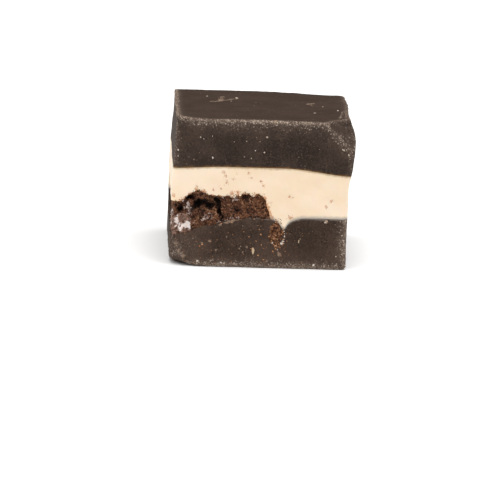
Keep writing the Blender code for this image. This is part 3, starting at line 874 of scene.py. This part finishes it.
def chocolate_look(name, dark, light, join_tone, join_width):
    """Dark fudge: grainy brown with faint drag marks from the knife, painted shade in tiny pits, painted
    glints, pale crumbs and a painted sheen along worn edges, tan spots, and a blurred line where it
    meets the cream."""
    look = Look(name, 0.7, 0.05)
    cloud = look.ramp(look.noise(6.0, 4.0), 0.35, 0.68)
    drag = look.noise(0.5, 3.0, (1.0, 1.0, 3.0))
    fine = look.noise(0.22, rough=0.7)
    shade = look.plus(look.times(drag, 0.2), look.times(fine, 0.6), look.times(cloud, 0.2))
    look.colour = look.mix(look.ramp(shade, 0.33, 0.68), dark, light)

    # Painted shade in tiny pits and painted glints, both fainter on the poured top.
    _, pit_shade, glint = look.cells(0.24)
    sawn = look.math("SUBTRACT", 1.0, look.times(look.mark("poured"), 0.65))
    sawn = look.times(sawn, look.ramp(look.noise(4.5, 2.0), 0.38, 0.62, 0.35, 1.0))
    look.coat(look.times(look.ramp(pit_shade, 0.4, 0.05, 0.0, 0.55), sawn), (32, 24, 20))
    look.coat(look.times(look.ramp(glint, 0.75, 0.97, 0.0, 0.18), sawn), (118, 100, 88))
    look.coat(look.times(look.mark("poured"), 0.5), (62, 47, 37))

    ragged = look.ramp(look.noise(0.3, rough=0.7), 0.25, 0.75, -0.3, 0.3)
    look.coat(look.ramp(look.plus(look.mark("spot"), ragged), 0.45, 0.7, 0.0, 0.65), (152, 128, 110))
    seed = look.plus(look.mark("seed"), look.times(ragged, 0.4))
    look.coat(look.ramp(seed, 0.5, 0.62, 0.0, 0.9), (196, 172, 142))

    # Pale haze on worn edges: partly frost and crumbs, partly a painted sheen where light catches them.
    patchy = look.times(look.mark("worn"), look.ramp(look.noise(1.0), 0.3, 0.7, 0.6, 1.2))
    haze_and_sheen = look.times(patchy, look.ramp(look.noise(0.17, 2.0), 0.35, 0.65, 0.1, 1.0))
    look.coat(haze_and_sheen, (150, 130, 116))
    _, chance, own = look.cells(0.19)
    pale = look.ramp(look.plus(chance, patchy), 0.98, 1.25)
    look.coat(pale, look.mix(own, (84, 70, 62), (190, 172, 156)))

    gap, own, _ = look.cells(1.3)
    shifted = look.plus(gap, look.ramp(look.noise(0.25), 0.2, 0.8, -0.09, 0.09))
    fleck = look.times(look.ramp(shifted, 0.11, 0.05), look.ramp(look.noise(4.0, 2.0), 0.45, 0.55))
    look.coat(look.times(fleck, 0.7), look.mix(own, (98, 74, 58), (160, 142, 126)))
    blurred = look.plus(look.mark("join"), look.ramp(look.noise(1.2), 0.2, 0.8, -0.16, 0.16))
    look.coat(look.ramp(blurred, join_width, -0.1, 0.0, 0.85), join_tone)
    return look.finish(look.times(drag, 0.02), look.times(fine, 0.03), look.times(pale, 0.07))


def cream_look():
    """Vanilla fudge: warm and even, a little translucent, stained where crumbs have dragged."""
    look = Look("vanilla_cream", 0.5, 0.3)
    look.soften(0.45, (1.0, 0.62, 0.34), 1.2)
    cloud = look.ramp(look.noise(7.0, 3.0, (1.4, 1.4, 0.8)), 0.3, 0.7)
    look.colour = look.mix(cloud, (232, 210, 182), (237, 218, 195))
    fine = look.noise(0.3)
    look.coat(look.ramp(fine, 0.62, 0.75, 0.0, 0.25), (232, 200, 160))
    stain = look.ragged("stain", 0.45, 0.7, -0.5, 0.3)
    look.coat(look.ramp(stain, 0.2, 0.9, 0.0, 0.8), (188, 122, 70))
    ragged = look.ramp(look.noise(0.9), 0.2, 0.8, -0.12, 0.12)
    under, over = look.plus(look.mark("under"), ragged), look.plus(look.mark("over"), ragged)
    look.coat(look.ramp(under, 0.55, 0.0, 0.0, 0.7), (150, 112, 62))
    look.coat(look.ramp(over, 0.9, 0.0, 0.0, 0.7), (150, 140, 132))
    return look.finish(look.times(fine, 0.02), look.times(look.noise(0.9, 2.0), 0.03))


def wafer_look(name, dark, light):
    """Broken chocolate wafer: brown grains of many tones, with painted shade, near black, in the pits
    and hollows between them and over its left part, smeared with cream in places."""
    look = Look(name, 0.8, 0.1)
    gap, own, pale = look.cells(0.26)
    middling = look.ramp(look.noise(0.5), 0.33, 0.67)
    broad = look.ramp(look.noise(2.2, 2.0), 0.35, 0.65)
    shade = look.plus(look.times(middling, 0.5), look.times(own, 0.3), look.times(broad, 0.2))
    look.colour = look.mix(look.ramp(shade, 0.15, 0.9), dark, light)
    look.coat(look.ramp(pale, 0.86, 0.93, 0.0, 0.7), (176, 136, 106))
    smear = look.ragged("smear", 0.5, 0.7, -0.4, 0.4)
    look.coat(look.ramp(smear, 0.3, 0.75, 0.0, 0.9), (206, 186, 176))
    # Painted shade, near black, in the hollows and over the left part.
    painted_shade = look.ragged("shade", 0.6, 0.65, -0.35, 0.35)
    look.coat(look.ramp(painted_shade, 0.15, 0.75, 0.0, 0.95), (22, 12, 8))
    # Painted shade, near black, in the recesses of the cut faces.
    look.coat(look.ramp(look.mark("recess_shade"), 0.15, 0.85, 0.0, 0.9), (16, 9, 6))
    return look.finish(look.times(gap, -0.1), look.times(look.noise(0.12, 2.0), 0.04))


def filling_look():
    """White filling, smeared with crumbs."""
    look = Look("white_filling", 0.6, 0.2)
    look.soften(0.2, (1.0, 0.7, 0.5), 0.6)
    crumbs = look.ramp(look.noise(0.4), 0.35, 0.65)
    look.colour = look.mix(crumbs, (70, 45, 34), (150, 118, 102))
    clean = look.ragged("clean", 0.5, 0.65, -0.45, 0.3)
    look.coat(look.ramp(clean, 0.3, 0.65), (222, 211, 205))
    return look.finish(look.times(look.noise(0.3), 0.1))


def bits_look(name, roughness, *tones):
    """Loose crumbs, each with its own tone between those given."""
    look = Look(name, roughness, 0.25)
    mark = look.mark("tone")
    look.colour = tones[0]
    for number, other in enumerate(tones[1:]):
        low, high = number / (len(tones) - 1), (number + 1) / (len(tones) - 1)
        look.coat(look.ramp(mark, low, high), other)
    speckle = look.noise(0.14)
    look.coat(look.ramp(speckle, 0.35, 0.7, 0.0, 0.3), tones[0])
    return look.finish(look.times(speckle, 0.05))


def dress(piece, material, slot, *nodes):
    """Gives the piece its material and smooth shading, hangs it under the root, and hides the model's parts
    that it stands in for, if any are given.
    """
    piece.data.materials.clear()
    piece.data.materials.append(material)
    piece.data.shade_smooth()
    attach(piece, "root")
    if nodes:
        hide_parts(*nodes)


def warped(points, size, amount, seed):
    """The points moved about sideways and up and down, so that round spots become ragged ones."""
    moved = points.copy()
    moved[:, 0] += amount * (grain(points, size, seed) + 0.5 * grain(points, size / 2.3, seed + 1))
    moved[:, 2] += amount * (grain(points, size, seed + 2) + 0.5 * grain(points, size / 2.3, seed + 3))
    return moved


def near_spots(points, spots, reach):
    """1 at the spots, given as x and z on the front cut with a size each, fading with distance."""
    total = np.zeros(len(points))
    at_front = hump(points[:, 1] - FRONT_CUT, 1.5)
    for x, z, size in spots:
        total = np.maximum(total, hump(np.hypot(points[:, 0] - x, points[:, 2] - z), size * reach))
    return total * at_front


def on_top(points, start, end, width):
    """About 1 on a ragged streak over the poured top, given by its ends, fading with distance."""
    start, end = np.array(start), np.array(end)
    flat = points[:, :2] + 0.5 * rows(grain(points, 0.9, 92), grain(points, 1.2, 93))
    along = np.clip((flat - start) @ (end - start) / np.sum((end - start) ** 2), 0.0, 1.0)
    away = np.linalg.norm(flat - start - along[:, None] * (end - start), axis=1)
    patchy = 0.75 + 0.6 * grain(points, 0.7, 94)
    return patchy * hump(away, width) * hump(points[:, 2] - HEIGHT, 1.5)


def over_biscuit(points, normals):
    """More than 0 on the cream's front cut just over the biscuit, and on its left front edge."""
    x, y, z = points.T
    rise = hump(z - biscuit_top(x, y) - 0.2, 0.6) * ease(2.5, -1.0, x)
    return hump(y - FRONT_CUT, 0.5) * np.maximum(rise, 0.9 * hump(x - left_cut(y, z), 0.35))


def round_chunk(points, normals):
    """More than 0 on the front cut just beside and under the chunk, most of all at its right."""
    x, y, z = points.T
    away = np.hypot((x - CHUNK_CENTRE[0]) / CHUNK_RADII[0], (z - CHUNK_CENTRE[2]) / CHUNK_RADII[2])
    return hump(y - FRONT_CUT, 0.4) * hump(away - 1.2, 0.22) * np.where(x > CHUNK_CENTRE[0], 1.0, 0.25)


def under_biscuit(points, normals):
    """More than 0 on the lower chocolate's front cut, a little more near the chunk."""
    x, y, z = points.T
    near = 0.9 * hump(np.hypot(x - 3.5, z - 4.0), 2.6) + 0.65 * hump(np.hypot(x + 7.0, 1.8 * z - 9.0), 10.0)
    return (hump(y - FRONT_CUT, 0.4) * near) ** SCATTERED


def build_pieces():
    """The layers with the pockets and the broken corner cut out of them, and what lies in them."""
    lower = layer("lower_chocolate", lambda x, y: 0.0 * x, lower_join, 1.7)
    cream = layer("vanilla_cream", lower_join, upper_join, 1.0)
    upper = layer("upper_chocolate", upper_join, top_face, -1.7)
    wafer, *wafer_cuts = biscuit("biscuit_wafer")
    white, *white_cuts = filling("white_filling")
    broken, *broken_cuts = chunk("wafer_chunk")
    cutters = [pocket("wafer_pocket", wafer, *wafer_cuts), pocket("white_pocket", white, *white_cuts)]
    cutters += [pocket("chunk_pocket", broken, *broken_cuts), chip("broken_corner")]
    cut_out(lower, *cutters[:3])
    cut_out(cream, cutters[0], cutters[2])
    cut_out(upper, cutters[3])
    cut_out(wafer, cutters[1])
    for cutter in cutters:
        bpy.data.objects.remove(cutter)
    return lower, cream, upper, wafer, white, broken


def mark_layers(lower, cream, upper):
    """Layer marks for the materials: worn edges with painted sheen, spots, stains and the distance to each
    join.
    """
    for piece, join, spots in ((lower, lower_join, TAN_SPOTS), (upper, upper_join, [])):
        points = points_of(piece.data) / MM
        # The worn mark holds edge wear together with a painted sheen along the edges.
        set_mark(piece, "worn", wear_and_sheen(points))
        x, y, z = points.T
        set_mark(piece, "join", np.abs(z - join(x, y)))
        streaks = np.max([on_top(points, *streak) for streak in STREAKS], axis=0)
        tan = near_spots(warped(points, 0.7, 0.2, 91), spots, 1.0)
        set_mark(piece, "spot", np.maximum(tan, streaks))
        set_mark(piece, "poured", hump(np.maximum(from_faces(points)[4], 0.0), 0.35))
        set_mark(piece, "seed", near_spots(points, SEED_SPOTS, 1.2))
    points = points_of(cream.data) / MM
    stain = near_spots(warped(points, 0.5, 0.15, 95), CREAM_SPOTS + CREAM_STAINS, 1.3)
    set_mark(cream, "stain", stain)
    x, y, z = points.T
    set_mark(cream, "under", upper_join(x, y) - z)
    set_mark(cream, "over", z - lower_join(x, y))


def joined(*lots):
    """Lots of places with their normals, put together."""
    return tuple(np.vstack([lot[k] for lot in lots]) for k in range(2))


def wafer_grains(wafer, broken):
    """Loose grains over the broken wafer's open faces."""
    rng = np.random.default_rng(7)

    def open_face(points, normals):
        front = hump(points[:, 1] - FRONT_CUT - 0.8, 0.7)
        left = 0.6 * hump(points[:, 0] - LEFT_CUT - 0.8, 0.7)
        return np.maximum(front, left) * (normals[:, 1] + normals[:, 0] < -0.4)

    def chunk_front(points, normals):
        return (points[:, 1] < FRONT_CUT + 1.4) * 1.0

    on_wafer = seats(wafer, open_face, WAFER_GRAINS, 61)
    places, ways = joined(on_wafer, seats(broken, chunk_front, CHUNK_GRAINS, 62))
    grains = bits("wafer_grains", places, ways, 0.07 + 0.2 * rng.random(len(places)) ** 2, 0.25, 1, 63)
    look = bits_look("wafer_grain", 0.75, (40, 24, 17), (84, 50, 34), (128, 84, 58))
    dress(grains, look, "biscuit")


def along_ridges():
    """Places strewn along the lines of crumbs."""
    rng = np.random.default_rng(11)
    places = []
    for corners, count, spread in RIDGES:
        corners = np.array(corners)
        runs = np.concatenate([[0.0], np.cumsum(np.linalg.norm(np.diff(corners, axis=0), axis=1))])
        at = rng.uniform(0.0, runs[-1], count)
        places.append(rows(*(np.interp(at, runs, corners[:, k]) for k in range(3))))
        places[-1] += rng.normal(0.0, spread, (count, 3))
    return np.vstack(places)


def pale_crumbs(lower, upper):
    """Pale crumbs on the chocolate's front cuts and on the poured top."""
    spots = np.array([(x, FRONT_CUT, z) for x, z, _ in PALE_SPOTS])
    sizes = 0.75 * np.array([size for *_, size in PALE_SPOTS])
    high = spots[:, 2] > UPPER_JOIN
    tops = np.array([(x, y, HEIGHT) for x, y, _ in TOP_SPOTS])
    on_upper, on_lower = nearest(upper, spots[high]), nearest(lower, spots[~high])
    places, ways = joined(on_upper, on_lower, nearest(upper, tops))
    radii = np.concatenate([sizes[high], sizes[~high], [size for *_, size in TOP_SPOTS]])
    made = bits("pale_crumbs", places, ways, radii, 0.35, 2, 71)
    look = bits_look("pale_crumb", 0.7, (148, 126, 106), (188, 170, 152), (216, 206, 196))
    dress(made, look, "cream_layer")


def brown_crumbs(lower, cream, rng):
    """Brown crumbs at the cream's spots, over the biscuit, round the chunk, under both and in the
    groove."""
    spots = np.repeat([(x, FRONT_CUT, z) for x, z, _ in CREAM_SPOTS], CRUMBS_A_SPOT, axis=0)
    sizes = np.repeat([size for *_, size in CREAM_SPOTS], CRUMBS_A_SPOT)
    spots = spots + rng.normal(0.0, 1.0, spots.shape) * sizes[:, None] * (1.2, 0.0, 1.6)
    radii = sizes * rng.uniform(0.1, 0.34, len(sizes))
    strewn = [
        seats(cream, over_biscuit, CRUMBS_OVER_BISCUIT, 73),
        seats(cream, round_chunk, CRUMBS_ROUND_CHUNK[0], 74),
        seats(lower, round_chunk, CRUMBS_ROUND_CHUNK[1], 75),
        seats(lower, under_biscuit, CRUMBS_UNDER_BISCUIT, 76),
    ]
    fine = 0.06 + 0.14 * rng.random(sum(len(lot[0]) for lot in strewn)) ** 2
    groove = np.array([(x, FRONT_CUT + 0.2, z) for x, z, _ in GROOVE_SPOTS])
    places, ways = joined(nearest(cream, spots), *strewn, nearest(lower, groove))
    radii = np.concatenate([radii, fine, [size for *_, size in GROOVE_SPOTS]])
    made = bits("brown_crumbs", places, ways, radii, 0.4, 1, 72)
    look = bits_look("brown_crumb", 0.75, (80, 50, 31), (158, 102, 62), (204, 148, 102))
    dress(made, look, "biscuit")


def edge_grains(lower, upper, rng):
    """Grains along the chocolate's worn edges and along the lines of crumbs."""

    def at_worn_edge(points, normals):
        return np.clip(wear_and_sheen(points) - 0.3, 0.0, 1.0) ** 1.5

    lines = along_ridges()
    high, low = lines[:, 2] > UPPER_JOIN, lines[:, 2] < UPPER_JOIN
    lots = [seats(piece, at_worn_edge, EDGE_GRAINS, 81) for piece in (upper, lower)]
    lots += [nearest(upper, lines[high]), nearest(lower, lines[low])]
    places, ways = joined(*lots)
    made = bits("edge_grains", places, ways, 0.03 + 0.08 * rng.random(len(places)) ** 2, 0.3, 1, 82)
    look = bits_look("edge_grain", 0.7, (64, 50, 42), (112, 94, 80), (176, 156, 138))
    dress(made, look, "chocolate_top")


def camera():
    """The photograph's own camera: the square keeps its place, size, turn and perspective."""
    azimuth, elevation = math.radians(CAMERA_AZIMUTH), math.radians(CAMERA_ELEVATION)
    towards = Vector((math.sin(azimuth), -math.cos(azimuth), 0.0)) * math.cos(elevation)
    towards.z = math.sin(elevation)
    sight = Vector((*MIDDLE_PIXELS, -LENS_PIXELS)).normalized()
    aim = sight.rotation_difference(Vector((0.0, 0.0, -1.0))).to_matrix()
    roll = Matrix.Rotation(math.radians(CAMERA_ROLL), 3, "Z")
    turn = (-towards).to_track_quat("-Z", "Y").to_matrix() @ roll @ aim
    data = bpy.data.cameras.new("camera")
    data.sensor_width = SENSOR_MM
    data.lens = LENS_PIXELS / PICTURE * SENSOR_MM
    data.clip_start = 0.01
    made = link("camera", data)
    made.matrix_world = Matrix.Translation((Vector(MIDDLE) + towards * CAMERA_DISTANCE) * MM) @ turn.to_4x4()
    bpy.context.scene.camera = made


def sky_lamp(name, towards, strength, spread):
    """Even, soft light from a wide patch of sky in that direction."""
    data = bpy.data.lights.new(name, "SUN")
    data.energy = strength
    data.angle = math.radians(spread)
    made = link(name, data)
    made.rotation_euler = (-Vector(towards)).to_track_quat("-Z", "Y").to_euler()


def stage():
    """A pale floor, a white surround and soft lamps."""
    bm = bmesh.new()
    bmesh.ops.create_grid(bm, x_segments=1, y_segments=1, size=FLOOR_HALF)
    floor = object_of("floor", bm)
    material = bpy.data.materials.new("floor")
    material.use_nodes = True
    shader = material.node_tree.nodes["Principled BSDF"]
    shader.inputs["Base Color"].default_value = FLOOR_TONE
    shader.inputs["Roughness"].default_value = 1.0
    shader.inputs["Specular IOR Level"].default_value = 0.0
    floor.data.materials.append(material)
    world = bpy.data.worlds.new("surround")
    world.use_nodes = True
    background = world.node_tree.nodes["Background"]
    background.inputs["Color"].default_value = (1.0, 1.0, 1.0, 1.0)
    background.inputs["Strength"].default_value = SURROUND
    bpy.context.scene.world = world
    sky_lamp("lamp_above", *LAMP_ABOVE)
    sky_lamp("lamp_left", *LAMP_LEFT)
    bpy.context.scene.view_settings.view_transform = "Standard"


def build():
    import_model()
    camera()
    stage()
    lower, cream, upper, wafer, white, broken = build_pieces()
    mark_layers(lower, cream, upper)
    above = chocolate_look("upper_chocolate", (47, 38, 33), (67, 55, 48), (124, 90, 52), 0.45)
    below = chocolate_look("lower_chocolate", (53, 42, 35), (76, 61, 52), (122, 112, 106), 0.5)
    for piece, look, node in (
        (upper, above, "chocolate_top"),
        (cream, cream_look(), "cream_layer"),
        (lower, below, "chocolate_bottom"),
        (wafer, wafer_look("broken_wafer", (50, 31, 22), (140, 95, 68)), "biscuit"),
        (white, filling_look(), "biscuit_filling"),
        (broken, wafer_look("broken_chunk", (48, 29, 19), (160, 111, 78)), "biscuit_chunk"),
    ):
        dress(piece, look, node, node)
    wafer_grains(wafer, broken)
    pale_crumbs(lower, upper)
    rng = np.random.default_rng(5)
    brown_crumbs(lower, cream, rng)
    edge_grains(lower, upper, rng)


build()
